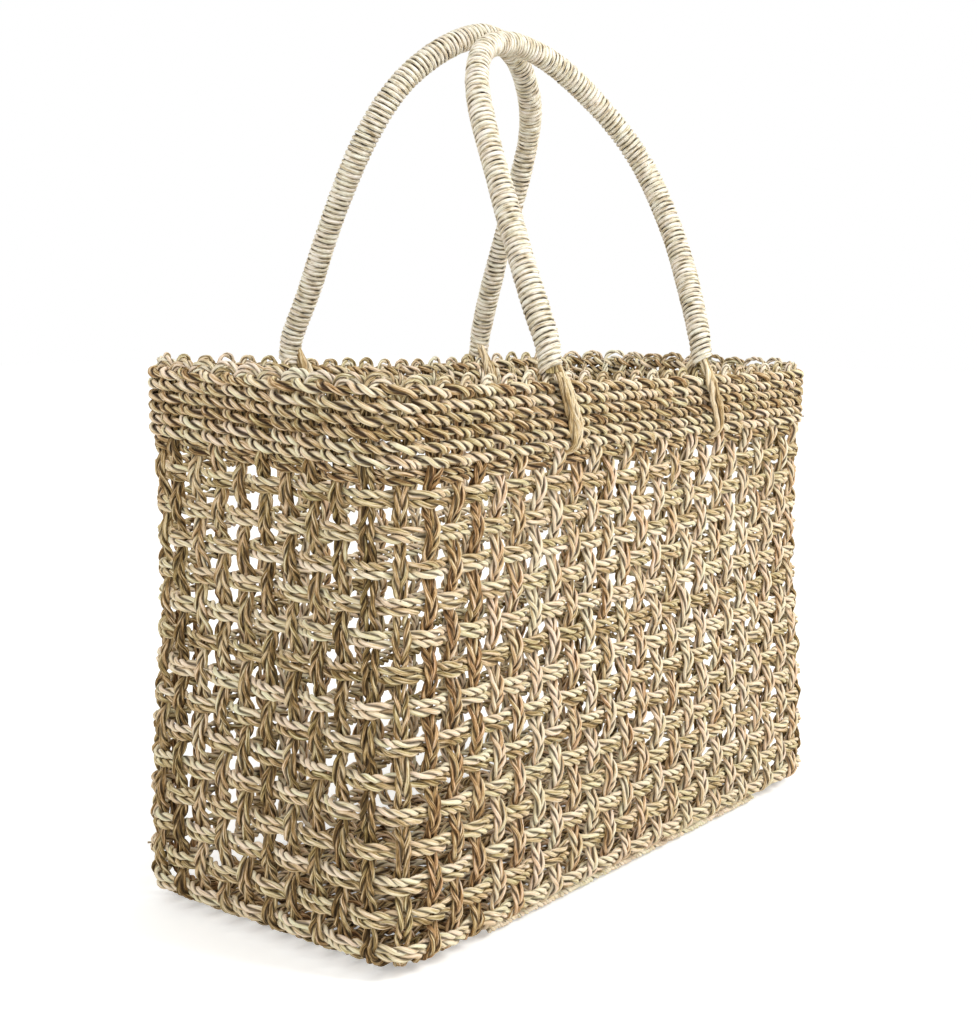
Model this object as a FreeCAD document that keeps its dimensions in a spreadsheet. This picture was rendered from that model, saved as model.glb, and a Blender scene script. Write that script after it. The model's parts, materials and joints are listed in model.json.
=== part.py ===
import FreeCAD, Part
import math
import os

# Oblong storage basket woven from seagrass cord, with two arched carrying handles.
# Millimetres. Long axis along X, short axis along Y, Z up, origin under the middle of the base.
# The front long wall faces -Y. Doubled cords are modelled as flat ribbons that keep the weave.

V = FreeCAD.Vector
doc = FreeCAD.newDocument("seagrass_basket")

# ---------------------------------------------------------------- driving dimensions
sheet = doc.addObject("Spreadsheet::Sheet", "dims")
rows = [
    ("basket_length", "410"),         # outside, over the band
    ("basket_width", "190"),          # outside, over the band
    ("rim_height", "280"),            # top of the scalloped border
    ("corner_radius", "24"),          # mid wall, seen from above
    ("heel_radius", "11.5"),          # mid wall, where the walls turn into the base
    ("cross_count", "23"),            # stakes running front, base, back
    ("length_count", "10"),           # stakes running left, base, right
    ("weft_count", "14"),
    ("band_count", "7"),
    ("stake_width", "7.4"),           # two cords side by side
    ("cord_thick", "3.6"),
    ("weft_height", "8"),             # two cords, one above the other
    ("slack", "0.4"),                 # clear space between crossing cords
    ("first_weft", "19"),             # height of the lowest weft's middle
    ("strand_thick", "2.6"),          # twining strands of the band
    ("strand_height", "2.6"),
    ("band_pitch", "5.6"),
    ("border_height", "5"),
    ("border_cord", "2.6"),
    ("lash_width", "6.6"),            # two strands side by side
    ("lash_thick", "3.2"),
    ("core_radius", "4.5"),           # rope inside each handle
    ("wrap_radius", "7"),             # outside of the handle's wrapping
    ("front_arc_radius", "76"),
    ("front_arc_height", "103"),       # arc centre above the hinge line
    ("front_arc_shift", "3.5"),
    ("back_arc_radius", "70"),
    ("back_arc_height", "115.5"),
    ("back_arc_shift", "-9"),
    ("front_left_space", "5"),        # which space between stakes each lashing goes through
    ("front_right_space", "14"),
    ("back_left_space", "5"),
    ("back_right_space", "16"),
    ("wave", "=(cord_thick + slack) / 2"),
    ("strand_wave", "=(cord_thick + strand_thick) / 2 + slack * 3 / 4"),
    ("wall_reach", "=strand_wave + strand_thick / 2"),
    ("mid_length", "=basket_length / 2 - wall_reach"),
    ("mid_width", "=basket_width / 2 - wall_reach"),
    ("base_level", "=wave + cord_thick / 2"),
    ("cross_flat", "=stake_width / 2 + 2 * slack"),
    ("weft_flat", "=weft_height / 2 + slack + 0.1"),
    ("last_cross", "=mid_length - corner_radius - cross_flat + slack"),
    ("last_length", "=mid_width - corner_radius - cross_flat + slack"),
    ("cross_pitch", "=2 * last_cross / (cross_count - 1)"),
    ("length_pitch", "=2 * last_length / (length_count - 1)"),
    ("band_top", "=rim_height - border_height - slack / 2"),
    ("band_bottom", "=band_top - band_pitch * band_count"),
    ("last_weft", "=band_bottom - lash_thick - 1 - 3 * slack - weft_height / 2"),
    ("weft_pitch", "=(last_weft - first_weft) / (weft_count - 1)"),
    ("lash_top", "=rim_height + slack + lash_thick"),
    ("hinge_level", "=lash_top + slack + core_radius"),
]
for number, (name, value) in enumerate(rows, start=1):
    sheet.set("A%d" % number, name)
    sheet.set("B%d" % number, value)
    sheet.setAlias("B%d" % number, name)
doc.recompute()


def dim(name):
    return float(sheet.get(name))


# ---------------------------------------------------------------- outline helpers
def side_points(path, reach, closed):
    """The path moved sideways by reach, to its left when reach is positive."""
    out = []
    count = len(path)
    for i in range(count):
        here = path[i]
        before = path[i - 1] if (i > 0 or closed) else None
        after = path[(i + 1) % count] if (i < count - 1 or closed) else None
        normals = []
        if before is not None:
            run = (here[0] - before[0], here[1] - before[1])
            size = math.hypot(run[0], run[1])
            normals.append((-run[1] / size, run[0] / size))
        if after is not None:
            run = (after[0] - here[0], after[1] - here[1])
            size = math.hypot(run[0], run[1])
            normals.append((-run[1] / size, run[0] / size))
        nx = sum(n[0] for n in normals) / len(normals)
        ny = sum(n[1] for n in normals) / len(normals)
        square = nx * nx + ny * ny
        out.append((here[0] + reach * nx / square, here[1] + reach * ny / square))
    return out


def polygon(name, points):
    wire = doc.addObject("Part::Polygon", name)
    wire.Nodes = points
    wire.Close = True
    return wire


def extrusion(name, base, direction, length_rule, maker="Part::FaceMakerSimple"):
    solid = doc.addObject("Part::Extrusion", name)
    solid.Base = base
    solid.DirMode = "Custom"
    solid.Dir = direction
    solid.Solid = True
    solid.FaceMakerClass = maker
    solid.setExpression("LengthFwd", length_rule)
    return solid


def group(name, members):
    joined = doc.addObject("Part::Compound", name)
    joined.Links = members
    joined.Label = name
    return joined


nodes = []
wave = dim("wave")
flat = dim("cross_flat")
weft_flat = dim("weft_flat")
base_level = dim("base_level")
mid_length = dim("mid_length")
mid_width = dim("mid_width")
corner = dim("corner_radius")
heel = dim("heel_radius")
half_cord = dim("cord_thick") / 2
cross_count = int(dim("cross_count"))
length_count = int(dim("length_count"))
weft_count = int(dim("weft_count"))
cross_at = [-dim("last_cross") + dim("cross_pitch") * i for i in range(cross_count)]
length_at = [-dim("last_length") + dim("length_pitch") * j for j in range(length_count)]
weft_at = [dim("first_weft") + dim("weft_pitch") * r for r in range(weft_count)]


# ---------------------------------------------------------------- stakes
# Each stake runs down one wall, across the base and up the other wall. It passes outside
# a weft where its place in the ring plus the weft's number is even, and inside otherwise.
def wall_run(wall, outward, place):
    """From the top of the band down to the lowest weft, as (across, height)."""
    path = [(wall, dim("band_top")), (wall, weft_at[-1] + weft_flat + 3)]
    for r in reversed(range(weft_count)):
        out = wave if (place + r) % 2 == 0 else -wave
        path.append((wall + outward * out, weft_at[r] + weft_flat))
        path.append((wall + outward * out, weft_at[r] - weft_flat))
    return path


def heel_run(wall, outward):
    """Round the bottom edge from the wall to the base."""
    path = []
    for degrees in (30, 60, 90):
        turn = math.radians(degrees)
        inset = heel * (1 - math.cos(turn))
        path.append((wall - outward * inset, base_level + heel * (1 - math.sin(turn))))
    return path


def stake_outline(wall, crossings, low_at_first, place_down, place_up):
    path = wall_run(-wall, -1, place_down) + heel_run(-wall, -1)
    for c, across in enumerate(crossings):
        level = base_level - wave if (c + low_at_first) % 2 else base_level + wave
        path.append((across - flat, level))
        path.append((across + flat, level))
    path += list(reversed(wall_run(wall, 1, place_up) + heel_run(wall, 1)))
    left = side_points(path, half_cord, False)
    right = side_points(path, -half_cord, False)
    return left + list(reversed(right))


back_first = cross_count + length_count + 2
left_first = back_first + cross_count + 1
cross_outlines = []
for phase in (0, 1):
    back_place = back_first + (cross_count - 1 - phase)
    outline = stake_outline(mid_width, length_at, phase, phase, back_place)
    points = [V(0, across, height) for across, height in outline]
    cross_outlines.append(polygon("cross_outline_%d" % (phase + 1), points))
length_outlines = []
for phase in (0, 1):
    left_place = left_first + (length_count - 1 - phase)
    right_place = cross_count + 1 + phase
    outline = stake_outline(mid_length, cross_at, phase + 1, left_place, right_place)
    points = [V(across, 0, height) for across, height in outline]
    length_outlines.append(polygon("length_outline_%d" % (phase + 1), points))

cross_stakes = []
for i in range(cross_count):
    stake = extrusion("cross_stake_%02d" % (i + 1), cross_outlines[i % 2], V(1, 0, 0), "dims.stake_width")
    stake.setExpression("Placement.Base.x",
                        "dims.cross_pitch * %d - dims.last_cross - dims.stake_width / 2" % i)
    cross_stakes.append(stake)
for first in range(0, cross_count, 2):
    pair = cross_stakes[first:first + 2]
    nodes.append(group("cross_stakes_%02d" % (first // 2 + 1), pair))

length_stakes = []
for j in range(length_count):
    stake = extrusion("length_stake_%02d" % (j + 1), length_outlines[j % 2], V(0, 1, 0), "dims.stake_width")
    stake.setExpression("Placement.Base.y",
                        "dims.length_pitch * %d - dims.last_length - dims.stake_width / 2" % j)
    length_stakes.append(stake)
for first in range(0, length_count, 2):
    pair = length_stakes[first:first + 2]
    nodes.append(group("length_stakes_%02d" % (first // 2 + 1), pair))

# One short stake up each corner, its tail bent in under the corner of the base.
corner_places = {"front_right": cross_count, "back_right": back_first - 1,
                 "back_left": left_first - 1, "front_left": left_first + length_count}
corner_signs = {"front_right": (1, -1), "back_right": (1, 1),
                "back_left": (-1, 1), "front_left": (-1, -1)}
for where, place in corner_places.items():
    path = wall_run(corner, 1, place) + heel_run(corner, 1) + [(corner - heel - 3, base_level)]
    outline = side_points(path, half_cord, False)
    outline += list(reversed(side_points(path, -half_cord, False)))
    wire = polygon("corner_outline_" + where, [V(out, 0, height) for out, height in outline])
    stake = extrusion("corner_stake_" + where, wire, V(0, 1, 0), "dims.stake_width")
    sx, sy = corner_signs[where]
    angle = math.degrees(math.atan2(sy, sx))
    half = dim("stake_width") / 2
    turn = FreeCAD.Rotation(V(0, 0, 1), angle)
    centre = V(sx * (mid_length - corner), sy * (mid_width - corner), 0)
    stake.Placement = FreeCAD.Placement(centre + turn.multVec(V(0, -half, 0)), turn)
    stake.Label = "corner_stake_" + where
    nodes.append(stake)

# ---------------------------------------------------------------- rings of weft and band
# Places round the ring, anticlockwise from the left end of the front wall:
# (x, y, outward x, outward y).
diagonal = math.sqrt(0.5)
places = [(x, -mid_width, 0, -1) for x in cross_at]
places.append((mid_length - corner * (1 - diagonal), -mid_width + corner * (1 - diagonal),
               diagonal, -diagonal))
places += [(mid_length, y, 1, 0) for y in length_at]
places.append((mid_length - corner * (1 - diagonal), mid_width - corner * (1 - diagonal),
               diagonal, diagonal))
places += [(x, mid_width, 0, 1) for x in reversed(cross_at)]
places.append((-mid_length + corner * (1 - diagonal), mid_width - corner * (1 - diagonal),
               -diagonal, diagonal))
places += [(-mid_length, y, -1, 0) for y in reversed(length_at)]
places.append((-mid_length + corner * (1 - diagonal), -mid_width + corner * (1 - diagonal),
               -diagonal, -diagonal))


def ring_face(name, swing, thick, phase):
    """Two outlines of a cord that goes inside and outside the stakes in turn."""
    path = []
    for k, (x, y, nx, ny) in enumerate(places):
        out = -swing if (k + phase) % 2 == 0 else swing
        for step in (-flat, flat):
            path.append((x + nx * out - ny * step, y + ny * out + nx * step))
    inner = polygon(name + "_inner", [V(px, py, 0) for px, py in side_points(path, thick / 2, True)])
    outer = polygon(name + "_outer", [V(px, py, 0) for px, py in side_points(path, -thick / 2, True)])
    both = doc.addObject("Part::Compound", name)
    both.Links = [outer, inner]
    return both


hole_maker = "Part::FaceMakerBullseye"
weft_faces = [ring_face("weft_face_%d" % (p + 1), wave, 2 * half_cord, p) for p in (0, 1)]
for r in range(weft_count):
    ring = extrusion("weft_%02d" % (r + 1), weft_faces[r % 2], V(0, 0, 1), "dims.weft_height", hole_maker)
    ring.setExpression("Placement.Base.z",
                       "dims.first_weft + dims.weft_pitch * %d - dims.weft_height / 2" % r)
    ring.Label = "weft_%02d" % (r + 1)
    nodes.append(ring)

# Each row of the band is two strands that change sides between one stake and the next.
strand_faces = [ring_face("strand_face_%d" % (p + 1), dim("strand_wave"), dim("strand_thick"), p)
                for p in (0, 1)]
for b in range(int(dim("band_count"))):
    strands = []
    for s in (0, 1):
        name = "band_strand_%02d_%d" % (b + 1, s + 1)
        strand = extrusion(name, strand_faces[(b + s) % 2], V(0, 0, 1), "dims.strand_height", hole_maker)
        strand.setExpression("Placement.Base.z",
                             "dims.band_bottom + dims.band_pitch * %d + dims.band_pitch * %d / 2" % (b, s))
        strands.append(strand)
    nodes.append(group("band_row_%02d" % (b + 1), strands))


# ---------------------------------------------------------------- scalloped border
# The ends of the stakes turn over to the next stake: one small arch in every space.
def scallop_outline(stations):
    foot = dim("rim_height") - dim("border_height") + dim("border_cord") / 2
    peak = dim("rim_height") - dim("border_cord") / 2
    path = [(stations[0] - 1.5, foot)]
    for here, after in zip(stations, stations[1:]):
        span = after - here
        path.append((here + span * 0.1, foot))
        path.append((here + span * 0.35, peak))
        path.append((here + span * 0.65, peak))
        path.append((here + span * 0.9, foot))
    path.append((stations[-1] + 1.5, foot))
    left = side_points(path, dim("border_cord") / 2, False)
    return left + list(reversed(side_points(path, -dim("border_cord") / 2, False)))


border_parts = []
for name, sign in (("front", -1), ("back", 1)):
    wire = polygon("border_outline_" + name,
                   [V(a, 0, h) for a, h in scallop_outline(cross_at)])
    part = extrusion("border_" + name, wire, V(0, 1, 0), "dims.cord_thick")
    part.setExpression("Placement.Base.y", "%d * dims.mid_width - dims.cord_thick / 2" % sign)
    border_parts.append(part)
for name, sign in (("left", -1), ("right", 1)):
    wire = polygon("border_outline_" + name,
                   [V(0, a, h) for a, h in scallop_outline(length_at)])
    part = extrusion("border_" + name, wire, V(1, 0, 0), "dims.cord_thick")
    part.setExpression("Placement.Base.x", "%d * dims.mid_length - dims.cord_thick / 2" % sign)
    border_parts.append(part)
turn_reach = corner * 0.36
for where in corner_places:
    sx, sy = corner_signs[where]
    stations = [-turn_reach, turn_reach]
    wire = polygon("border_outline_" + where, [V(0, a, h) for a, h in scallop_outline(stations)])
    part = extrusion("border_" + where, wire, V(1, 0, 0), "dims.cord_thick")
    turn = FreeCAD.Rotation(V(0, 0, 1), math.degrees(math.atan2(sy, sx)))
    centre = V(sx * (mid_length - corner), sy * (mid_width - corner), 0)
    part.Placement = FreeCAD.Placement(centre + turn.multVec(V(corner - half_cord, 0, 0)), turn)
    border_parts.append(part)
nodes.append(group("scalloped_border", border_parts))

# ---------------------------------------------------------------- lashings
# A doubled strand goes over the rim, down both faces of the band and through the wall under it.
gap = dim("slack")
lash = dim("lash_thick")
near = dim("wall_reach") + gap
bottom = dim("band_bottom") - gap - lash - 1
frame_outer = [(-near - lash, bottom), (near + lash, bottom),
               (near + lash, dim("lash_top") - 2), (near + lash - 2, dim("lash_top")),
               (-near - lash + 2, dim("lash_top")), (-near - lash, dim("lash_top") - 2)]
frame_inner = [(-near, bottom + lash), (near, bottom + lash),
               (near, dim("rim_height") + gap), (-near, dim("rim_height") + gap)]
lash_outer = polygon("lash_outer", [V(0, a, h) for a, h in frame_outer])
lash_inner = polygon("lash_inner", [V(0, a, h) for a, h in frame_inner])
lash_face = doc.addObject("Part::Compound", "lash_face")
lash_face.Links = [lash_outer, lash_inner]
for side, sign in (("front", -1), ("back", 1)):
    for end in ("left", "right"):
        name = "lashing_%s_%s" % (side, end)
        loop = extrusion(name, lash_face, V(1, 0, 0), "dims.lash_width", hole_maker)
        loop.setExpression("Placement.Base.x",
                           "dims.cross_pitch * (dims.%s_%s_space + 0.5) - dims.last_cross"
                           " - dims.lash_width / 2" % (side, end))
        loop.setExpression("Placement.Base.y", "%d * dims.mid_width" % sign)
        loop.Label = name
        nodes.append(loop)


# ---------------------------------------------------------------- handles
# Built upright with the hinge line on the X axis, then leaned in until the tops nearly meet.
def leg(centre_x, centre_z, radius, foot_x, side):
    """Angle from upright and length of the straight leg that meets the arc smoothly."""
    reach = math.hypot(centre_x - foot_x, centre_z)
    toward = math.atan2(centre_z, side * (foot_x - centre_x))
    splay = math.pi / 2 - toward - math.asin(radius / reach)
    return splay, math.sqrt(reach * reach - radius * radius)


def arch(name, side, tube, lift, ball):
    """A round bar along the handle's line: two legs and the arc between them."""
    radius = dim(side + "_arc_radius")
    centre_x = dim(side + "_arc_shift")
    centre_z = dim(side + "_arc_height")
    pieces = []
    splays = {}
    for end, sign in (("left", -1), ("right", 1)):
        foot_x = dim("cross_pitch") * (dim("%s_%s_space" % (side, end)) + 0.5) - dim("last_cross")
        splay, length = leg(centre_x, centre_z, radius, foot_x, sign)
        splays[end] = splay
        bar = doc.addObject("Part::Cylinder", "%s_%s_leg" % (name, end))
        bar.setExpression("Radius", tube)
        bar.Height = length - lift
        turn = FreeCAD.Rotation(V(0, 1, 0), math.degrees(-sign * splay))
        foot = V(foot_x, 0, 0)
        bar.Placement = FreeCAD.Placement(foot + turn.multVec(V(0, 0, lift)), turn)
        pieces.append(bar)
        if ball:
            tip = doc.addObject("Part::Sphere", "%s_%s_tip" % (name, end))
            tip.setExpression("Radius", tube)
            tip.Placement = FreeCAD.Placement(foot, FreeCAD.Rotation())
            pieces.append(tip)
    bend = doc.addObject("Part::Torus", name + "_bend")
    bend.setExpression("Radius1", "dims.%s_arc_radius" % side)
    bend.setExpression("Radius2", tube)
    bend.Angle3 = 180 - math.degrees(splays["left"] + splays["right"])
    turn = FreeCAD.Rotation(V(1, 0, 0), 90) * FreeCAD.Rotation(V(0, 0, 1), math.degrees(splays["right"]))
    bend.Placement = FreeCAD.Placement(V(centre_x, 0, centre_z), turn)
    pieces.append(bend)
    whole = doc.addObject("Part::MultiFuse", name)
    whole.Shapes = pieces
    whole.Refine = False
    return whole


for side, sign in (("front", -1), ("back", 1)):
    top = dim(side + "_arc_height") + dim(side + "_arc_radius")
    lean = math.degrees(math.asin((mid_width - dim("wrap_radius") - gap / 2) / top))
    pose = FreeCAD.Placement(V(0, sign * mid_width, 0), FreeCAD.Rotation(V(1, 0, 0), sign * lean))
    core = arch(side + "_handle_core", side, "dims.core_radius", 0, True)
    skin = arch(side + "_wrap_skin", side, "dims.wrap_radius", 7, False)
    bore = arch(side + "_wrap_bore", side, "dims.core_radius + dims.slack", 6, False)
    wrap = doc.addObject("Part::Cut", side + "_handle_wrap")
    wrap.Base = skin
    wrap.Tool = bore
    for body in (core, wrap):
        body.Placement = pose
        body.setExpression("Placement.Base.z", "dims.hinge_level")
        body.Label = body.Name
        nodes.append(body)

doc.recompute()

# ---------------------------------------------------------------- check and export
for body in doc.Objects:
    if "Invalid" in body.State or "Error" in body.State:
        raise RuntimeError("not computed: " + body.Name)
for body in nodes:
    if body.Shape.isNull() or not body.Shape.isValid() or not body.Shape.Solids:
        raise RuntimeError("bad shape: " + body.Label)
    if body.TypeId != "Part::Compound" and len(body.Shape.Solids) != 1:
        raise RuntimeError("not one solid: " + body.Label)
os.makedirs("parts", exist_ok=True)
for body in nodes:
    body.Shape.exportStep("parts/" + body.Label + ".step")
print("nodes", len(nodes))
for body in nodes:
    box = body.Shape.BoundBox
    print(body.Label, len(body.Shape.Solids), "%.1f %.1f %.1f  %.1f %.1f %.1f"
          % (box.XMin, box.YMin, box.ZMin, box.XMax, box.YMax, box.ZMax))
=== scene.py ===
import json
import math
import bpy
import numpy as np
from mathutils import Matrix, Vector


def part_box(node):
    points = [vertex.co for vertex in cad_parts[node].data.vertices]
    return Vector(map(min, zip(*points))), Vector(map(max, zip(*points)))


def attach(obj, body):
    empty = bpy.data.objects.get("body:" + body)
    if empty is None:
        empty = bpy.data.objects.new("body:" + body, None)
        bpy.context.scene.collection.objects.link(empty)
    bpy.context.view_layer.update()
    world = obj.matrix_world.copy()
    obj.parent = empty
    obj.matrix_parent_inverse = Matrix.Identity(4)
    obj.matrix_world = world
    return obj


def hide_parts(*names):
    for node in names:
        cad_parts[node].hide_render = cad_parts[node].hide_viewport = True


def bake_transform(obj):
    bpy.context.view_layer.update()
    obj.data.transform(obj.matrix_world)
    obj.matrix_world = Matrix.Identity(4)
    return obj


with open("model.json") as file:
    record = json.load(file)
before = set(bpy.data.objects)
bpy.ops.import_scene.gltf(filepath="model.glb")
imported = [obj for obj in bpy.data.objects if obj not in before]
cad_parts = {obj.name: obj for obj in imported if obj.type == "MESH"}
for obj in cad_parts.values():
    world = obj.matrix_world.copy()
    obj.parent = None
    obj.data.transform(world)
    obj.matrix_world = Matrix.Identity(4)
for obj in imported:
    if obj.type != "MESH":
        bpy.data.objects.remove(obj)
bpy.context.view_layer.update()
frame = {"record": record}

# ------------------------------------------------------------------ stakes
# The upright cords of the basket. Each stake is two lengths of two-ply seagrass cord, twisted
# opposite ways so that the pair reads as a plait, run up one wall, across the base and up the
# other. Seagrass is dried, flattened sedge: straw to olive and brown, with long coarse fibres.
MM = 0.001                    # sizes are written in millimetres, and meshes are in metres
STATIONS = 70                 # places for a stake round the basket
CROSS, LENGTH = 23, 10        # stakes across the base, and along it
WALL_REACH = 3.8              # from the middle of the wall to a row's outside
RIM_CORNER, BASE_CORNER = 42.0, 22.0    # radius of the walls' corners seen from above
RIM = 280.0                   # height of the rim
HEEL = 13.0                   # radius where a wall turns into the base
HEEL_TOP = 16.0               # height at which it starts to turn
BASE_LEVEL = 4.5              # height of the middle of the base's weave
WAVE = 2.1                    # swing of a cord to each side of the wall's middle
STAKE_TOP = 271.0             # where the stakes end, inside the band
STAKE_HALF = 1.95             # half the distance between the two cords of a stake
STAKE_LAY = 17.0              # length of one full turn of a cord's plies
WEFTS = 14                    # open rows, from the lowest to the highest
WEFT_LOW, WEFT_HIGH = 13.4, 223.5
WEFT_PITCH = (WEFT_HIGH - WEFT_LOW) / (WEFTS - 1)
CLOSE_ROW = 238.0             # one more woven row, pushed up under the twined band
# How far a hand-made wall is from flat and level: at each corner the rows run high or low
# (left, right; front then back), the walls dip inwards at these heights, and the rim sags
# in the middle of each long wall, more at the back.
CORNER_RISE = ((-2.5, -8.0), (3.5, -4.0))
SWELL_HEIGHTS = [0, 20, 60, 100, 150, 200, 240, 280]
SWELL_OUT = [-0.5, 0, 0, -1, -4, -3, -1, 0]
SAG_BACK, SAG_FRONT, SAG_HALF = 4.5, 1.2, 110
rng = np.random.default_rng(11)

weft_low, weft_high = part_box("weft_07")
WALL_X = weft_high[0] / MM - WALL_REACH
WALL_Y = weft_high[1] / MM - WALL_REACH


def plan_table(corner):
    """The walls' outline from above, from the middle of the front wall, anticlockwise."""
    quarter = np.linspace(0, math.pi / 2, 60)
    runs = []
    corners = ((-math.pi / 2, 1, -1), (0, 1, 1), (math.pi / 2, -1, 1), (math.pi, -1, -1))
    for turn, sx, sy in corners:
        angle = quarter + turn
        x = sx * (WALL_X - corner) + corner * np.cos(angle)
        y = sy * (WALL_Y - corner) + corner * np.sin(angle)
        runs.append(np.stack([x, y, np.cos(angle), np.sin(angle)], 1))
    start = np.array([[0.0, -WALL_Y, 0.0, -1.0]])
    table = np.concatenate([start] + runs + [start])
    steps = np.hypot(*np.diff(table[:, :2], axis=0).T)
    return np.concatenate([[0], np.cumsum(steps)]), table


rim_length, rim_plan = plan_table(RIM_CORNER)
base_length, base_plan = plan_table(BASE_CORNER)
PITCH = base_length[-1] / STATIONS
FRONT_MIDDLE = (CROSS - 1) / 2


def outline(station, height):
    """x, y and the outward direction at a station; FRONT_MIDDLE is the front wall's middle."""
    share = np.mod((np.asarray(station, float) - FRONT_MIDDLE) / STATIONS, 1)
    up = np.clip(np.asarray(height, float) / RIM, 0, 1)
    found = []
    for c in range(4):
        low = np.interp(share * base_length[-1], base_length, base_plan[:, c])
        high = np.interp(share * rim_length[-1], rim_length, rim_plan[:, c])
        found.append(low + (high - low) * up)
    return found


def wall(station, height, out):
    """A point on the wall, out millimetres outside its middle. Gives metres."""
    station, height, out = np.broadcast_arrays(np.asarray(station, float), height, out)
    x, y, nx, ny = outline(station, height)
    swell = np.interp(height, SWELL_HEIGHTS, SWELL_OUT)
    sink = np.clip((HEEL_TOP - height) / (HEEL_TOP - BASE_LEVEL), 0, 1)
    inset = HEEL * (1 - np.sqrt(1 - sink ** 2))
    middle = np.exp(-(x / SAG_HALF) ** 2)
    sag = np.where(ny > 0.5, SAG_BACK, np.where(ny < -0.5, SAG_FRONT, 0))
    sag = sag * middle * (height / RIM) ** 3
    reach = out + swell - inset
    right = np.clip(x / WALL_X / 2 + 0.5, 0, 1)
    back = np.clip(y / WALL_Y / 2 + 0.5, 0, 1)
    (front_left, front_right), (back_left, back_right) = CORNER_RISE
    rise = (1 - back) * (front_left + (front_right - front_left) * right)
    rise = rise + back * (back_left + (back_right - back_left) * right)
    level = height - sag + rise * height / RIM
    return np.stack([x + nx * reach, y + ny * reach, level], -1) * MM


def wobble(count, size, waves=4):
    """A slow random wandering, as hand-worked cord has."""
    t = np.linspace(0, 1, count)
    parts = [np.sin(2 * math.pi * (t * f + rng.random())) for f in rng.uniform(1, 9, waves)]
    return size * sum(parts) / math.sqrt(waves)


def add(tree, kind, inputs=None, **settings):
    """A node with its settings. Each input is a value or the output that feeds it."""
    node = tree.nodes.new(kind)
    for key, value in settings.items():
        setattr(node, key, value)
    for key, value in (inputs or {}).items():
        socket = node.inputs[key]
        if isinstance(value, bpy.types.NodeSocket):
            tree.links.new(value, socket)
        else:
            socket.default_value = value
    return node


DRIFT_SCALE = 55.0            # per metre: the twist wanders over about 18 mm
LUMP_SCALE = 90.0             # per metre: a ply swells and thins over about 11 mm
FIBRE_SCALE = 75.0            # per metre: at a grain of 1.5 a fibre runs about 9 mm


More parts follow.
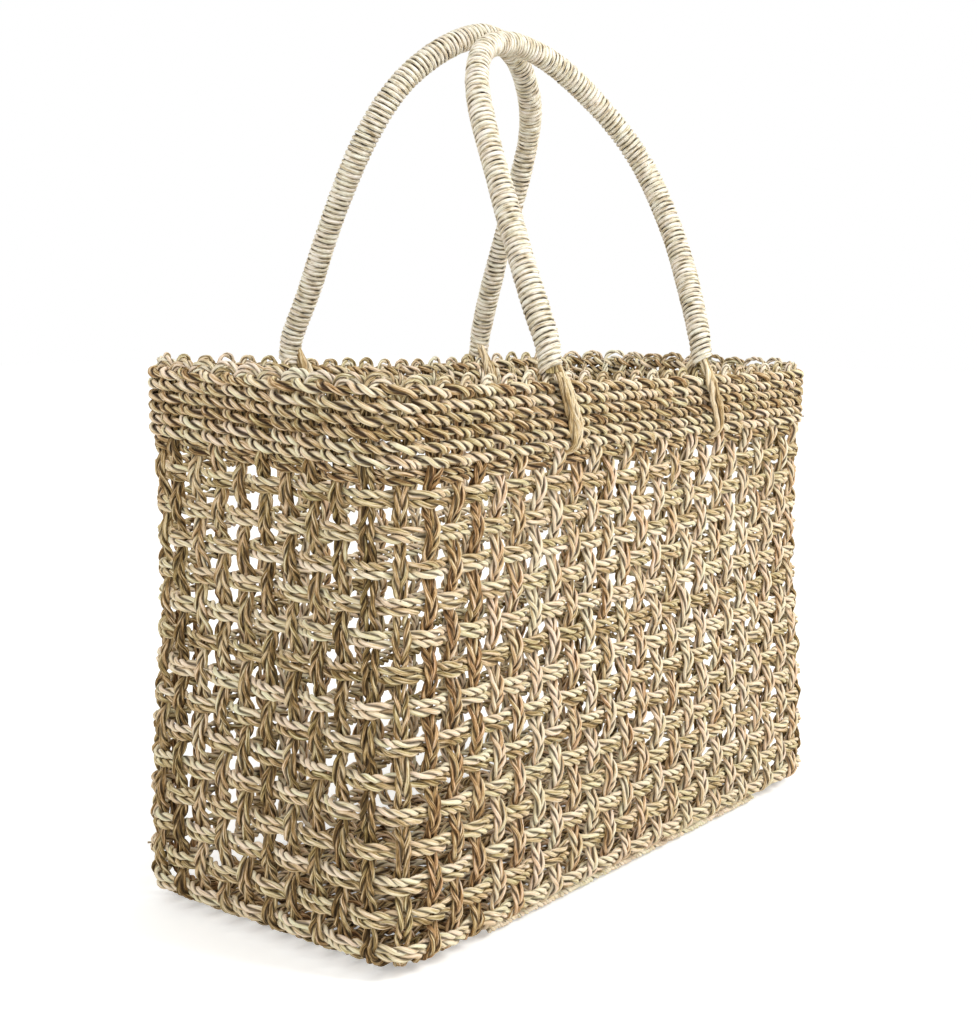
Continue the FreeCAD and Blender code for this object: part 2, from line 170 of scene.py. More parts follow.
def laid_cord_tree():
    """Plies laid round each other along every path of a mesh of edges.

    It leaves two measures for the shader: fibre, which runs round and along each ply, and
    groove, which falls from 1 on the outside of the cord to -1 where the plies meet."""
    tree = bpy.data.node_groups.new("laid_cord", "GeometryNodeTree")
    face = tree.interface
    face.new_socket("Geometry", in_out="INPUT", socket_type="NodeSocketGeometry")
    for name, kind in (("Plies", "Int"), ("Ply Radius", "Float"), ("Ply Offset", "Float"),
                       ("Lay", "Float"), ("Step", "Float"), ("Sides", "Int"),
                       ("Unevenness", "Float"), ("Slackness", "Float")):
        face.new_socket(name, in_out="INPUT", socket_type="NodeSocket" + kind)
    face.new_socket("Material", in_out="INPUT", socket_type="NodeSocketMaterial")
    face.new_socket("Geometry", in_out="OUTPUT", socket_type="NodeSocketGeometry")
    given = add(tree, "NodeGroupInput").outputs

    def read(name, kind="FLOAT"):
        return add(tree, "GeometryNodeInputNamedAttribute", {"Name": name},
                   data_type=kind).outputs[0]

    def sums(how, *values):
        return add(tree, "ShaderNodeMath", dict(enumerate(values)), operation=how).outputs[0]

    def vectors(how, *values):
        out = "Value" if how == "DOT_PRODUCT" else "Vector"
        keys = {0: values[0]}
        if len(values) > 1:
            keys["Scale" if how == "SCALE" else 1] = values[1]
        return add(tree, "ShaderNodeVectorMath", keys, operation=how).outputs[out]

    def store(geometry, name, value, kind="FLOAT"):
        return add(tree, "GeometryNodeStoreNamedAttribute",
                   {"Geometry": geometry, "Name": name, "Value": value},
                   data_type=kind, domain="POINT").outputs[0]

    # the path, cut into even steps, with two directions across it at every step
    path = add(tree, "GeometryNodeMeshToCurve", {"Mesh": given["Geometry"]}).outputs[0]
    path = add(tree, "GeometryNodeResampleCurve", {"Curve": path, "Length": given["Step"]},
               mode="LENGTH").outputs[0]
    run = add(tree, "GeometryNodeSplineParameter").outputs["Length"]
    path = store(path, "run", run)
    tangent = add(tree, "GeometryNodeInputTangent").outputs[0]
    across = read("across", "FLOAT_VECTOR")
    lengthwise = vectors("SCALE", tangent, vectors("DOT_PRODUCT", across, tangent))
    side = vectors("NORMALIZE", vectors("SUBTRACT", across, lengthwise))
    path = store(path, "side", side, "FLOAT_VECTOR")
    path = store(path, "rise", vectors("CROSS_PRODUCT", tangent, side), "FLOAT_VECTOR")

    # one copy for each ply, carried round the path by the twist, which wanders a little
    copies = add(tree, "GeometryNodeDuplicateElements",
                 {"Geometry": path, "Amount": given["Plies"]}, domain="SPLINE")
    path = store(copies.outputs["Geometry"], "ply", copies.outputs["Duplicate Index"])
    turns = sums("DIVIDE", read("run"), given["Lay"])
    share = sums("DIVIDE", read("ply"), given["Plies"])
    turns = sums("MULTIPLY_ADD", turns, read("twist"), share)
    drift_at = add(tree, "ShaderNodeCombineXYZ", {
        "X": sums("MULTIPLY", read("run"), DRIFT_SCALE),
        "Y": sums("MULTIPLY", read("shade"), 83.1)}).outputs[0]
    drift = add(tree, "ShaderNodeTexNoise",
                {"Vector": drift_at, "Scale": 1.0, "Detail": 1.0}).outputs[0]
    drift = sums("MULTIPLY", sums("SUBTRACT", drift, 0.5), read("twist"))
    turns = sums("MULTIPLY_ADD", drift, given["Slackness"], turns)
    angle = sums("MULTIPLY", sums("ADD", turns, read("start")), 2 * math.pi)
    away = vectors("ADD", vectors("SCALE", read("side", "FLOAT_VECTOR"), sums("COSINE", angle)),
                   vectors("SCALE", read("rise", "FLOAT_VECTOR"), sums("SINE", angle)))
    path = store(path, "away", away, "FLOAT_VECTOR")
    offset = sums("MULTIPLY", given["Ply Offset"], read("size"))
    offset = vectors("SCALE", read("away", "FLOAT_VECTOR"), offset)
    path = add(tree, "GeometryNodeSetPosition", {"Geometry": path, "Offset": offset}).outputs[0]
    where = add(tree, "GeometryNodeInputPosition").outputs[0]
    path = store(path, "middle", where, "FLOAT_VECTOR")

    # an uneven round section along each ply; the seed makes every ply's lumps its own
    seed = sums("MULTIPLY_ADD", read("shade"), 61.7, sums("MULTIPLY", read("ply"), 7.3))
    lumps_at = add(tree, "ShaderNodeCombineXYZ", {
        "X": sums("MULTIPLY", read("run"), LUMP_SCALE), "Y": seed}).outputs[0]
    lumps = add(tree, "ShaderNodeTexNoise",
                {"Vector": lumps_at, "Scale": 1.0, "Detail": 2.0}).outputs[0]
    swell = sums("MULTIPLY_ADD", sums("SUBTRACT", lumps, 0.5), given["Unevenness"], 1.0)
    swell = sums("MULTIPLY", swell, read("size"))
    ring = add(tree, "GeometryNodeCurvePrimitiveCircle",
               {"Resolution": given["Sides"], "Radius": given["Ply Radius"]},
               mode="RADIUS").outputs[0]
    ring = store(ring, "ring", vectors("NORMALIZE", where), "FLOAT_VECTOR")
    path = store(path, "swell", swell)
    path = add(tree, "GeometryNodeSetCurveRadius",
               {"Curve": path, "Radius": read("swell")}).outputs[0]
    skin = add(tree, "GeometryNodeCurveToMesh",
               {"Curve": path, "Profile Curve": ring, "Fill Caps": True})
    if "Scale" in skin.inputs:
        tree.links.new(read("swell"), skin.inputs["Scale"])
    skin = skin.outputs[0]

    # what the shader reads, and nothing else, stays on the mesh
    outward = vectors("NORMALIZE", vectors("SUBTRACT", where, read("middle", "FLOAT_VECTOR")))
    skin = store(skin, "groove", vectors("DOT_PRODUCT", outward, read("away", "FLOAT_VECTOR")))
    parts = add(tree, "ShaderNodeSeparateXYZ", {0: read("ring", "FLOAT_VECTOR")}).outputs
    length = sums("MULTIPLY_ADD", read("run"), FIBRE_SCALE, seed)
    fibre = add(tree, "ShaderNodeCombineXYZ",
                {"X": parts["X"], "Y": parts["Y"], "Z": length}).outputs[0]
    skin = store(skin, "fibre", fibre, "FLOAT_VECTOR")
    for name in ("across", "side", "rise", "away", "middle", "ring", "run", "ply", "twist",
                 "start", "size", "swell"):
        skin = add(tree, "GeometryNodeRemoveAttribute",
                   {"Geometry": skin, "Name": name}).outputs[0]
    skin = add(tree, "GeometryNodeSetShadeSmooth", {"Geometry": skin}).outputs[0]
    skin = add(tree, "GeometryNodeRealizeInstances", {"Geometry": skin}).outputs[0]
    skin = add(tree, "GeometryNodeSetMaterial",
               {"Geometry": skin, "Material": given["Material"]}).outputs[0]
    add(tree, "NodeGroupOutput", {"Geometry": skin})
    return tree


laid_cord = laid_cord_tree()


def strand(points, across, shade=None, twist=1, start=None, size=1.0):
    """One cord's path: where it runs, which way its pair lies, its tone, twist and thickness."""
    tone = rng.random() if shade is None else shade
    phase = rng.random() if start is None else start
    return {"points": points, "across": np.broadcast_to(across, points.shape),
            "shade": tone, "twist": twist, "start": phase, "size": size}


def cords(name, strands, material, body, nodes, plies=2, ply=1.05, offset=1.0, lay=18.0,
          step=2.0, sides=6, uneven=0.6, slack=1.3, joins=None):
    """Turns paths into laid cord, as one plain mesh that rides on a body.

    ply is a ply's radius and offset its distance from the cord's middle, both in mm, lay the
    length of one turn and step the length between sections. When joins is set, the piece rides
    on no body, and its place is baked into its mesh."""
    mesh = bpy.data.meshes.new(name)
    counts = [len(s["points"]) for s in strands]
    starts = np.concatenate([[0], np.cumsum(counts)[:-1]])
    edges = [np.stack([np.arange(n - 1), np.arange(1, n)], 1) + first
             for n, first in zip(counts, starts)]
    points = np.concatenate([s["points"] for s in strands])
    mesh.from_pydata(points.tolist(), np.concatenate(edges).tolist(), [])
    mesh.attributes.new("across", "FLOAT_VECTOR", "POINT").data.foreach_set(
        "vector", np.concatenate([s["across"] for s in strands]).astype(np.float32).ravel())
    for key in ("shade", "twist", "start", "size"):
        values = np.repeat([s[key] for s in strands], counts).astype(np.float32)
        mesh.attributes.new(key, "FLOAT", "POINT").data.foreach_set("value", values)
    path = bpy.data.objects.new(name + "_path", mesh)
    bpy.context.scene.collection.objects.link(path)
    builder = path.modifiers.new("laid_cord", "NODES")
    builder.node_group = laid_cord
    sizes = {"Plies": plies, "Ply Radius": ply * MM, "Ply Offset": offset * MM,
             "Lay": lay * MM, "Step": step * MM, "Sides": sides, "Unevenness": uneven,
             "Slackness": slack, "Material": material}
    for item in laid_cord.interface.items_tree:
        if item.in_out == "INPUT" and item.name in sizes:
            builder[item.identifier] = sizes[item.name]
    evaluated = path.evaluated_get(bpy.context.evaluated_depsgraph_get())
    piece = bpy.data.objects.new(name, bpy.data.meshes.new_from_object(evaluated))
    bpy.context.scene.collection.objects.link(piece)
    bpy.data.objects.remove(path)
    piece.data.name = name
    if joins:
        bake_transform(piece)
    else:
        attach(piece, body)
    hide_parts(*nodes)
    return piece


def linear(code):
    """An sRGB hex colour as the linear values that the shader wants."""
    parts = [int(code[i:i + 2], 16) / 255 for i in (1, 3, 5)]
    return [p / 12.92 if p <= 0.04045 else ((p + 0.055) / 1.055) ** 2.4 for p in parts] + [1.0]


# Dried seagrass is matt and a little waxy, so it is rough with a low reflection. Its real
# fibres are too fine to show at this size, so they are drawn coarse, about three to a ply.
ROUGHNESS = 0.75
REFLECTION = 0.35
FIBRE_RELIEF = 1.1 * MM       # height of the fibres, as the bump is told
FIBRE_CONTRAST, FIBRE_MIDDLE = 2.3, 0.57
TONE_PLACES = (0.12, 0.34, 0.5, 0.66, 0.88)
PINKISH, GREENISH = "#FFEFE3", "#F6F6E0"     # the two casts that grass from one hank has


def seagrass(name, tones, shadow, grain=1.5, depth=0.9, spread=0.5, patchy=0.6,
             crease=(0.2, -0.5), packed=1.0, tinted=1.0, dashes=0.35, deep=0.75):
    """Fibres along each ply, patches of tone and tint, and painted shade between the plies.

    tones are the fibre colours from dark to pale, and shadow the colour of the shade painted
    down in the grooves, where the plies meet. grain is how fine the fibres are and depth how
    strong their relief. spread is how much cords differ in tone, patchy how much places along one
    cord do, and tinted how much of the pinkish and greenish casts shows. The painted shade grows
    from none at the first groove value of crease to deep at the second. Patches lower it to the
    share in packed, and dashes is how short they are along a ply."""
    material = bpy.data.materials.new(name)
    material.use_nodes = True
    tree = material.node_tree
    shader = tree.nodes["Principled BSDF"]

    def sums(how, *values):
        return add(tree, "ShaderNodeMath", dict(enumerate(values)), operation=how).outputs[0]

    def mix(factor, one, two, how="MIX"):
        both = add(tree, "ShaderNodeMix", {"Factor": factor}, data_type="RGBA", blend_type=how)
        for socket, value in zip([i for i in both.inputs if i.type == "RGBA"], (one, two)):
            if isinstance(value, bpy.types.NodeSocket):
                tree.links.new(value, socket)
            else:
                socket.default_value = value
        return [o for o in both.outputs if o.type == "RGBA"][0]

    fibre = add(tree, "ShaderNodeAttribute", attribute_name="fibre").outputs["Vector"]
    fine = add(tree, "ShaderNodeTexNoise", {"Vector": fibre, "Scale": grain, "Detail": 4.0,
                                            "Roughness": 0.7}).outputs[0]
    patch_at = add(tree, "ShaderNodeVectorMath", {0: fibre, 1: (0.25, 0.25, dashes)},
                   operation="MULTIPLY").outputs[0]
    patch = add(tree, "ShaderNodeTexNoise", {"Vector": patch_at, "Scale": 1.0, "Detail": 2.0})
    shade = add(tree, "ShaderNodeAttribute", attribute_name="shade").outputs["Fac"]
    tone = sums("MULTIPLY_ADD", sums("SUBTRACT", fine, 0.5), FIBRE_CONTRAST, FIBRE_MIDDLE)
    tone = sums("MULTIPLY_ADD", sums("SUBTRACT", patch.outputs[0], 0.5), patchy, tone)
    tone = sums("MULTIPLY_ADD", sums("SUBTRACT", shade, 0.5), spread, tone)
    ramp = add(tree, "ShaderNodeValToRGB", {"Fac": tone})
    ramp.color_ramp.interpolation = "EASE"
    while len(ramp.color_ramp.elements) < len(tones):
        ramp.color_ramp.elements.new(0.5)
    for stop, place, code in zip(ramp.color_ramp.elements, TONE_PLACES, tones):
        stop.position = place
        stop.color = linear(code)
    tinge = add(tree, "ShaderNodeMapRange", {
        "Value": patch.outputs["Color"], "From Min": 0.4, "From Max": 0.6})
    tint = mix(tinge.outputs[0], linear(PINKISH), linear(GREENISH))
    colour = mix(tinted, ramp.outputs["Color"], tint, "MULTIPLY")
    # painted shade: the shadow colour is laid into the grooves, where plies and turns meet
    groove = add(tree, "ShaderNodeAttribute", attribute_name="groove").outputs["Fac"]
    painted_groove_shade = add(tree, "ShaderNodeMapRange", {
        "Value": groove, "From Min": crease[0], "From Max": crease[1],
        "To Min": 0.0, "To Max": deep}).outputs[0]
    # patches along a ply where the painted shade breaks off, leaving dashes of it
    painted_shade_patches = add(tree, "ShaderNodeMapRange", {
        "Value": patch.outputs[0], "From Min": 0.36, "From Max": 0.56,
        "To Min": 1.0, "To Max": packed}).outputs[0]
    painted_groove_shade = sums("MULTIPLY", painted_groove_shade, painted_shade_patches)
    tree.links.new(mix(painted_groove_shade, colour, linear(shadow)), shader.inputs["Base Color"])
    relief = add(tree, "ShaderNodeBump", {
        "Height": fine, "Strength": depth, "Distance": FIBRE_RELIEF})
    tree.links.new(relief.outputs[0], shader.inputs["Normal"])
    shader.inputs["Roughness"].default_value = ROUGHNESS
    shader.inputs["Specular IOR Level"].default_value = REFLECTION
    return material


# The hank for the ends is olive to straw, and the one for the long walls warmer, nearly peach.
stake_grass = seagrass("dried_seagrass_stakes",
                       ["#52401E", "#9C8252", "#D2BD98", "#E9DCC2", "#F8F2E4"], "#34230D",
                       spread=0.6)
across_grass = seagrass("dried_seagrass_stakes_across",
                        ["#5E4220", "#AE8C5E", "#DEC39C", "#F0DFC6", "#FAF3E6"], "#3A2610",
                        spread=0.6)


def row_at(height):
    """Which woven row a height is at, as a number that runs on between the rows."""
    last = WEFTS - 1 + (height - WEFT_HIGH) / (CLOSE_ROW - WEFT_HIGH)
    return np.where(height < WEFT_HIGH, (height - WEFT_LOW) / WEFT_PITCH, last)


SAMPLE = 2.0                  # distance between the points of a path
FADE = 7.0                    # length over which a stake's swing dies away


def upright(station, place):
    """Down a wall: from the top of the band to where the wall starts to turn under."""
    height = np.arange(STAKE_TOP, HEEL_TOP, -SAMPLE)
    swing = np.cos(math.pi * (row_at(height) + place))
    fade = np.clip((CLOSE_ROW + FADE - height) / FADE, 0, 1)
    sway = wobble(len(height), 0.035)
    return wall(station + sway, height, WAVE * swing * fade)


def heel(station, place):
    """Round the bottom edge, by angle."""
    angle = np.linspace(0, math.pi / 2, 14)
    height = HEEL_TOP - (HEEL_TOP - BASE_LEVEL) * np.sin(angle)
    swing = np.cos(math.pi * (row_at(height) + place)) * np.cos(angle)
    return wall(station, height, WAVE * swing)


def stake(first, last, place_first, place_last, lift):
    """From one rim to the other under the base. lift gives the base's weave at a point."""
    one = np.concatenate([upright(first, place_first), heel(first, place_first)])
    two = np.concatenate([upright(last, place_last), heel(last, place_last)])[::-1]
    gap = np.linalg.norm(two[0] - one[-1])
    pieces = int(gap / (SAMPLE * MM))
    t = np.arange(1, pieces)[:, None] / pieces
    floor = one[-1] * (1 - t) + two[0] * t
    edge = np.clip(np.minimum(t, 1 - t)[:, 0] * gap / (FADE * MM), 0, 1)
    floor[:, 2] += lift(floor) * edge * MM
    return np.concatenate([one, floor, two])


def tones(count, low, high):
    """Tones for a run of cords, so that neighbours differ."""
    return low + (high - low) * rng.permutation(np.linspace(0, 1, count))


cross_tones = tones(CROSS * 2, 0.4, 1.0)
cross_tones[:10] *= np.linspace(0.1, 1.0, 10)       # the first few, by the corner, are dark
for first in range(0, CROSS, 2):
    strands = []
    for i in range(first, min(first + 2, CROSS)):
        for s in (-1, 1):
            shift = s * STAKE_HALF / PITCH

            def lift(p, i=i):
                return WAVE * np.cos(math.pi * (p[:, 1] / MM / PITCH + (LENGTH - 1) / 2 + i))

            back = 2 * CROSS + LENGTH + 1 - i
            line = stake(i + shift, back - shift, i, back, lift)
            tone = cross_tones[2 * i + (s > 0)]
            strands.append(strand(line, (1, 0, 0), tone, s, 0.25 * s))
    cords("stakes_across_%02d" % (first // 2 + 1), strands, across_grass, "basket",
          ["cross_stakes_%02d" % (first // 2 + 1)], lay=STAKE_LAY, step=1.8)

length_tones = tones(LENGTH * 2, 0.0, 0.45)
for first in range(0, LENGTH, 2):
    strands = []
    for j in range(first, first + 2):
        for s in (-1, 1):
            shift = s * STAKE_HALF / PITCH
            left = STATIONS - 2 - j
            right = CROSS + 1 + j

            def lift(p, j=j):
                return -WAVE * np.cos(math.pi * (p[:, 0] / MM / PITCH + FRONT_MIDDLE + j))

            line = stake(left - shift, right + shift, left, right, lift)
            tone = length_tones[2 * j + (s > 0)]
            strands.append(strand(line, (0, 1, 0), tone, s, 0.25 * s))
    cords("stakes_along_%02d" % (first // 2 + 1), strands, stake_grass, "basket",
          ["length_stakes_%02d" % (first // 2 + 1)], lay=STAKE_LAY, step=1.8)

for corner, place in (("front_right", CROSS), ("back_right", CROSS + LENGTH + 1),
                      ("back_left", 2 * CROSS + LENGTH + 2), ("front_left", STATIONS - 1)):
    strands = []
    for s in (-1, 1):
        station = place + s * STAKE_HALF / PITCH
        line = np.concatenate([upright(station, place), heel(station, place)])
        nx, ny = outline(place, 0)[2:]
        tail = line[-1] - np.outer(np.arange(1, 9) * 2 * MM, [nx, ny, 0])
        line = np.concatenate([line, tail])
        strands.append(strand(line, (-ny, nx, 0), 0.3 * rng.random(), s, 0.25 * s))
    cords("stake_corner_" + corner, strands, stake_grass, "basket",
          ["corner_stake_" + corner], lay=STAKE_LAY, step=1.8)

# ------------------------------------------------------------------ open rows
# The level rows of the open weave: a doubled seagrass cord woven round the basket, over one
# stake and under the next. The hanks used here are paler than the stakes. One more pale,
# hard-twisted cord is bound along the base's front edge.
WEFT_HALF = 2.05              # half the distance between the two cords of a row, mm
BACK_MIDDLE = 46              # station in the middle of the back wall: the rows' ends are there
BASE_EDGE = (3.0, CROSS - 3.5)          # the stations between which the edge cord runs
BASE_EDGE_LEVEL, BASE_EDGE_INSET = 3.8, 5.0
# This hank is pale straw, with a faint green.
weft_grass = seagrass("dried_seagrass_rows",
                      ["#786236", "#BCA97E", "#DDCFAE", "#EDE2CA", "#F9F3E5"], "#3E2B12")


SPRING = 6                    # how strongly a loose end curls away


def loose_fibres(line, count, out):
    """Ends of fibre that have sprung out of a cord, for a few millimetres each."""
    found = []
    for k in rng.integers(8, len(line) - 8, count):
        along = line[k + 2] - line[k - 2]
        along *= rng.choice([-1, 1]) / np.linalg.norm(along)
        lift = out(line[k]) * rng.uniform(0.1, 0.6) + rng.normal(0, 0.35, 3)
        t = np.linspace(0, 1, 6)[:, None] * rng.uniform(3, 8) * MM
        path = line[k] + along * t + lift * t ** 1.5 * SPRING
        found.append(strand(path, (0, 0.1, 1), rng.uniform(0.6, 1), 1,
                            size=rng.uniform(0.14, 0.26)))
    return found


def outwards(point):
    """The level direction out of the basket at a point of its walls."""
    if abs(point[0]) / WALL_X > abs(point[1]) / WALL_Y:
        return np.array([np.sign(point[0]), 0, 0.2])
    return np.array([0, np.sign(point[1]), 0.2])


for r in range(WEFTS):
    middle = WEFT_LOW + WEFT_PITCH * r
    begin = BACK_MIDDLE + (r + 1) % 2
    station = np.arange(begin, begin + STATIONS, SAMPLE / PITCH)
    drift = wobble(len(station), 0.7, 6)
    swing = -WAVE * np.cos(math.pi * (station + r))
    strands = []
    for s in (-1, 1):
        height = middle + drift + s * WEFT_HALF + wobble(len(station), 0.25, 8)
        line = wall(station, height, swing + wobble(len(station), 0.2, 8))
        strands.append(strand(line, (0, 0, 1), None, 1))
        strands += loose_fibres(line, 24, outwards)
    if r == 0:
        run = np.arange(BASE_EDGE[0], BASE_EDGE[1], SAMPLE / PITCH)
        edge_cord = wall(run, BASE_EDGE_LEVEL, HEEL - BASE_EDGE_INSET)
        strands.append(strand(edge_cord, (0, 0, 1), 1.0, 3))
    cords("open_row_%02d" % (r + 1), strands, weft_grass, "basket",
          ["weft_%02d" % (r + 1)], ply=1.2, offset=1.05, lay=15.5, step=1.8)

# ------------------------------------------------------------------ twined band
# The firm band under the rim: six rows, each of two cords that twist round each other between
# the stakes and so grip every one, packed down hard so that the rows touch. Under them one
# more doubled cord is plainly woven and pushed up close.
BAND_ROWS = 6
BAND_LOW, BAND_HIGH = 244.0, 272.0
DROOP, DROOP_REACH = 4.6, 5.5  # the rows spread downwards round the front left corner
TWINE = 4.0                    # swing that carries a cord past a stake
ROLL = 1.1                     # how far the two cords of a row pass above and below each other
CLOSE_HALF = 1.85              # half the distance between the close row's two cords
BAND_SAMPLE = 1.8
# The band is handled most, so its tips are worn pale; its grooves get the darkest painted shade.
band_grass = seagrass("dried_seagrass_band",
                      ["#604624", "#A88C60", "#D4C29C", "#E8DCC2", "#F7F0E2"], "#361F0E",
                      spread=0.45, patchy=0.5, crease=(0.35, -0.35), deep=0.9)


def band_level(station, middle):
    """The height of a row of the band at each station."""
    away = (station - (STATIONS - 0.5) + STATIONS / 2) % STATIONS - STATIONS / 2
    share = (BAND_HIGH - middle) / (BAND_HIGH - CLOSE_ROW)
    droop = DROOP * share * np.exp(-(away / DROOP_REACH) ** 2)
    return middle - droop + wobble(len(station), 0.4, 6)


station = np.arange(BACK_MIDDLE, BACK_MIDDLE + STATIONS, BAND_SAMPLE / PITCH)
level = band_level(station, CLOSE_ROW)
strands = []
for s in (-1, 1):
    height = level + s * CLOSE_HALF + wobble(len(station), 0.2, 8)
    line = wall(station, height, -WAVE * np.cos(math.pi * (station + WEFTS)))
    strands.append(strand(line, (0, 0, 1), None, 1))
cords("band_row_01_cords", strands, band_grass, "basket", ["band_row_01"],
      ply=1.1, offset=0.95, lay=15.0, step=1.8)
for b in range(BAND_ROWS):
    middle = BAND_LOW + (BAND_HIGH - BAND_LOW) * b / (BAND_ROWS - 1)
    level = band_level(station, middle)
    strands = []
    for s in (-1, 1):
        swing = s * TWINE * np.cos(math.pi * (station + b))
        roll = -s * ROLL * np.sin(math.pi * (station + b))
        line = wall(station, level + roll, swing)
        strands.append(strand(line, (0, 0, 1), None, 1))
        strands += loose_fibres(line, 14, outwards)
    cords("band_row_%02d_cords" % (b + 2), strands, band_grass, "basket",
          ["band_row_%02d" % (b + 2)], ply=1.32, offset=1.2, lay=14.5, step=1.7)

# ------------------------------------------------------------------ scalloped border
# The finish of the rim: each stake's two ends bend over to the next stake and are pushed
# down inside the band, which leaves a row of small loops standing above it.
LOOP_FOOT = 271.0             # height at which the loops leave the band
LOOP_RISES = (8.0, 5.0)       # an outer loop from stake to stake, and a lower one inside it
TAIL_TOP, TAIL_END = 267.0, 258.0       # the tucked end, down the band's inner face
# Freshly bent ends show clean pale grass, with a soft painted shade in the grooves.
border_grass = seagrass("dried_seagrass_border",
                        ["#86704A", "#C6B48E", "#E2D6BA", "#F2EADA", "#FDFAF2"], "#5A4628")
strands = []
for k in range(STATIONS):
    for s, rise in enumerate(LOOP_RISES):
        t = np.linspace(0, 1, 16)
        spread = 0.5 - (0.5 - 0.1 * s) * np.cos(math.pi * t)
        station = k + 0.04 + spread * 0.92 + rng.uniform(-0.05, 0.05)
        height = LOOP_FOOT + (rise + rng.uniform(-1.0, 0.9)) * np.sin(math.pi * t) ** 0.75
        arch = wall(station, height, 1.5 - 5.0 * t)
        down = np.linspace(TAIL_TOP, TAIL_END, 5)
        tail = wall(np.full(5, station[-1]), down, -6.5 - 0.5 * np.linspace(0, 1, 5))
        strands.append(strand(np.concatenate([arch, tail]), (0, 0, 1), None, 1))
cords("border_loops", strands, border_grass, "basket", ["scalloped_border"],
      ply=0.85, offset=0.72, lay=12.0, step=1.5)

# ------------------------------------------------------------------ handles
# Each handle is a rope bent into an arch, wound from end to end with a thin, pale seagrass
# string. The turns lie side by side, not quite even, and show as ribs.
hinges = {j["child"]: j for j in frame["record"]["behaviour"]["joints"]}
WRAP_REACH = 6.6              # from the rope's middle to the outside of the string
STRING = 1.4                  # the string's radius
TURN_PITCH = 2.75             # distance from one turn to the next
FOOT_DROP = 15.0              # the rope goes on below the hinge line, down onto the rim
HANDLE_CLEAR = 0.4            # from a leaning handle's top to the basket's middle plane


# each handle's side of the basket, and its bent shape: (along the wall, up from the hinge)
ARCHES = {
    "front_handle": (-1, [(-88, 0), (-85, 24), (-79.5, 57), (-73, 90), (-66.5, 121),
                          (-57, 149), (-39, 171), (-12, 179.5), (14, 176), (37, 163.5),
                          (60, 139.5), (73, 114), (76, 86), (72.5, 55), (64, 25),
                          (54.5, 0)]),
    "back_handle": (1, [(-84, 0), (-82.5, 28), (-83.5, 57), (-83, 88), (-79, 121), (-67, 151),
                        (-43, 173.5), (-14, 184), (17, 176), (43, 155), (57, 131), (65, 97),
                        (71, 62), (78, 28), (85, 0)]),
}


def smooth(knots, count, closed=False):
    """A smooth line through a few knots."""
    knots = np.asarray(knots, float)
    size = len(knots)
    if closed:
        ring = knots[np.arange(-1, size + 2) % size]
    else:
        ring = np.concatenate([[2 * knots[0] - knots[1]], knots, [2 * knots[-1] - knots[-2]]])
    t = np.linspace(0, len(ring) - 3, count)
    i = np.minimum(np.floor(t).astype(int), len(ring) - 4)
    f = (t - i)[:, None]
    a, b, c, d = (ring[i + n] for n in range(4))
    return 0.5 * (2 * b + (c - a) * f + (2 * a - 5 * b + 4 * c - d) * f ** 2
                  + (3 * b - a - 3 * c + d) * f ** 3)


def handle_line(name):
    """The handle's middle from its left foot to its right one, leaning in over the mouth."""
    side, knots = ARCHES[name]
    flat = smooth(knots, 260)
    hinge = hinges[name]["pos_m"]
    lean = math.asin((abs(hinge[1]) / MM - WRAP_REACH - HANDLE_CLEAR) / flat[:, 1].max())
    y = hinge[1] / MM - side * flat[:, 1] * math.sin(lean)
    z = hinge[2] / MM + flat[:, 1] * math.cos(lean)
    line = np.stack([flat[:, 0], y, z], 1)
    below = np.arange(1, int(FOOT_DROP / 2) + 1) * 2.0
    drop = np.array([[0, side * 0.12, -1.0]]) * below[:, None]
    line = np.concatenate([(line[0] + drop)[::-1], line, line[-1] + drop])
    for _ in range(8):
        line[1:-1] = (line[:-2] + 2 * line[1:-1] + line[2:]) / 4
    return line * MM, np.array([0, math.cos(lean), side * math.sin(lean)])


# The rope inside is coarse, dark grass. The string is creamy, with a dash of painted shade here
# and there where two turns don't quite meet.
rope_grass = seagrass("seagrass_rope",
                      ["#4A3A22", "#7E6D46", "#A39469", "#C2B48B", "#D8CDAA"], "#2E2414")
wrap_grass = seagrass("pale_seagrass_string",
                      ["#84724E", "#C9BA98", "#E6DCC6", "#F4EFE2", "#FDFBF5"], "#2C2010",
                      grain=2.2, depth=0.7, patchy=0.8, crease=(0.93, 0.5),
                      packed=0.08, tinted=0.4, dashes=2.2, deep=1.0)
for name in ARCHES:
    line, normal = handle_line(name)
    cords(name + "_rope", [strand(line, normal, 0.4, 1)], rope_grass, name,
          [name + "_core"], plies=3, ply=2.2, offset=2.2, lay=42.0, step=3.0,
          sides=10, joins="basket")
    steps = np.linalg.norm(np.diff(line, axis=0), axis=1)
    distance = np.concatenate([[0], np.cumsum(steps)])
    low, high = 1.5 * MM, distance[-1] - 1.5 * MM
    turns = (high - low) / (TURN_PITCH * MM)
    t = np.linspace(0, 1, int(turns * 24))
    along = low + (high - low) * t + wobble(len(t), 0.0008, 60)
    angle = 2 * math.pi * turns * t
    centre = np.stack([np.interp(along, distance, line[:, c]) for c in range(3)], 1)
    halfway = (distance[1:] + distance[:-1]) / 2
    tangent = np.stack([np.interp(along, halfway, np.diff(line[:, c]) / steps)
                        for c in range(3)], 1)
    side = np.cross(normal, tangent)
    radial = side * np.cos(angle)[:, None] + normal * np.sin(angle)[:, None]
    reach = (WRAP_REACH - STRING + wobble(len(t), 0.2, 90)) * MM
    string = centre + radial * reach[:, None]
    cords(name + "_string", [strand(string, radial, 0.5, 0, 0)], wrap_grass, name,
          [name + "_wrap"], plies=1, ply=STRING, offset=0.0, lay=20.0,
          step=1.5, sides=8, uneven=0.5, joins="basket")

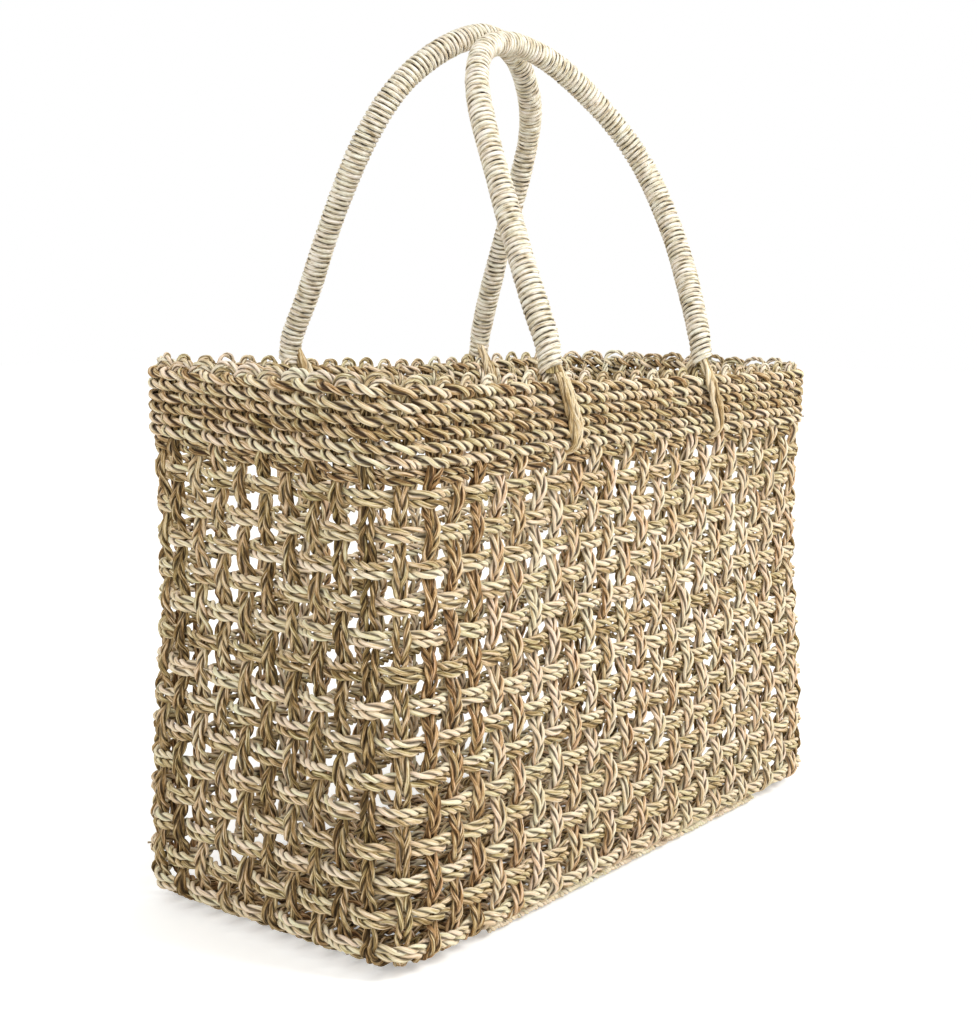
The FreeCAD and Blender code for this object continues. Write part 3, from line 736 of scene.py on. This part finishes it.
# ------------------------------------------------------------------ lashings
# What ties each handle on: a few natural strands of unspun seagrass that come out of the
# handle's end, run down both faces of the band, and meet through the wall beneath it.
# Unspun grass is smoother and more golden than the twisted cords.
lash_grass = seagrass("unspun_seagrass_strands",
                      ["#8A6E42", "#BFA272", "#DEC79C", "#EEDDBA", "#FAF0DA"], "#5A4526",
                      grain=2.4, tinted=0.3)
SLANT = 0.9                   # how far a lashing leans along the wall, in stations

for side, handle in (("front", "front_handle"), ("back", "back_handle")):
    for end, knot in (("left", 0), ("right", -1)):
        foot = ARCHES[handle][1][knot][0]
        front = side == "front"
        station = foot / PITCH + FRONT_MIDDLE if front else BACK_MIDDLE - foot / PITCH
        slant = SLANT if front else -SLANT
        strands = []
        for n in (-1, 0, 1):
            spread = n * 0.16
            thin = n * 0.06
            # (station, height, out from the wall's middle), down the outside and up the inside
            knots = [(station + thin, 289, 0.0), (station + thin + slant * 0.05, 279, 5.2),
                     (station + spread + slant * 0.25, 271, 8.0 - abs(n) * 0.6),
                     (station + spread * 1.3 + slant * 0.7, 259, 8.0 - abs(n)),
                     (station + spread * 1.2 + slant, 250, 7.4 - abs(n) * 0.8),
                     (station + thin + slant * 1.0, 242, 5.5),
                     (station + thin + slant * 0.9, 238.5, -3.5),
                     (station + spread + slant * 0.8, 243, -7.8),
                     (station + spread + slant * 0.4, 258, -8.4),
                     (station + spread + slant * 0.1, 272, -7.6),
                     (station + thin, 282, -4.0)]
            curve = smooth(knots, 120, closed=True)
            line = wall(curve[:, 0], curve[:, 1], curve[:, 2])
            strands.append(strand(line, (1, 0, 0), None, 1))
        cords("lashing_%s_%s_strands" % (side, end), strands, lash_grass, "basket",
              ["lashing_%s_%s" % (side, end)],
              ply=1.35, offset=0.8, lay=60.0, step=2.0)

# ------------------------------------------------------------------ floor, light and camera
# A pale studio sweep with large soft lights, and the camera a little above the rim.
FLOOR = 6                     # half the floor's width, metres
floor_mesh = bpy.data.meshes.new("studio_floor")
floor_mesh.from_pydata([(-FLOOR, -FLOOR, 0), (FLOOR, -FLOOR, 0), (FLOOR, FLOOR, 0),
                        (-FLOOR, FLOOR, 0)], [], [(0, 1, 2, 3)])
floor = bpy.data.objects.new("studio_floor", floor_mesh)
bpy.context.scene.collection.objects.link(floor)
# Matt white paper. Its glow is for the camera alone: the floor looks white, lights nothing.
paper = bpy.data.materials.new("white_paper_sweep")
paper.use_nodes = True
surface = paper.node_tree.nodes["Principled BSDF"].inputs
surface["Base Color"].default_value = linear("#F2F2F0")
surface["Roughness"].default_value = 1.0
surface["Specular IOR Level"].default_value = 0.0
surface["Emission Color"].default_value = (1, 1, 1, 1)
glow = add(paper.node_tree, "ShaderNodeLightPath").outputs["Is Camera Ray"]
glow = add(paper.node_tree, "ShaderNodeMath", {0: glow, 1: 0.3}, operation="MULTIPLY").outputs[0]
paper.node_tree.links.new(glow, surface["Emission Strength"])
floor_mesh.materials.append(paper)

world = bpy.data.worlds.new("studio")
bpy.context.scene.world = world
world.use_nodes = True
sky = world.node_tree
seen = add(sky, "ShaderNodeLightPath").outputs["Is Camera Ray"]
level = add(sky, "ShaderNodeMapRange", {"Value": seen, "To Min": 0.95, "To Max": 1.0}).outputs[0]
sky.nodes["Background"].inputs["Color"].default_value = (1, 1, 1, 1)
sky.links.new(level, sky.nodes["Background"].inputs["Strength"])


LIT_POINT = (0, 0, 0.15)      # the basket's middle, metres


def area_light(name, place, size, power):
    """A soft white box that faces the object's middle."""
    lamp = bpy.data.lights.new(name, "AREA")
    lamp.size = size
    lamp.energy = power
    holder = bpy.data.objects.new(name, lamp)
    holder.location = place
    aim = Vector(LIT_POINT) - Vector(place)
    holder.rotation_euler = aim.to_track_quat("-Z", "Y").to_euler()
    bpy.context.scene.collection.objects.link(holder)


area_light("key", (0.5, -1.5, 1.5), 0.6, 26)
area_light("fill", (-1.7, -0.4, 0.9), 1.0, 6)

lens = bpy.data.cameras.new("camera")
camera = bpy.data.objects.new("camera", lens)
bpy.context.scene.collection.objects.link(camera)
camera.location = (-0.6984, -0.5366, 0.3086)
yaw, pitch = 0.6696, 0.1311
aim = Vector((math.cos(yaw) * math.cos(pitch), math.sin(yaw) * math.cos(pitch), -math.sin(pitch)))
camera.rotation_euler = aim.to_track_quat("-Z", "Y").to_euler()
lens.lens = 55.15
lens.sensor_width = 36
lens.clip_start = 0.01
bpy.context.scene.camera = camera
bpy.context.scene.view_settings.view_transform = "Standard"
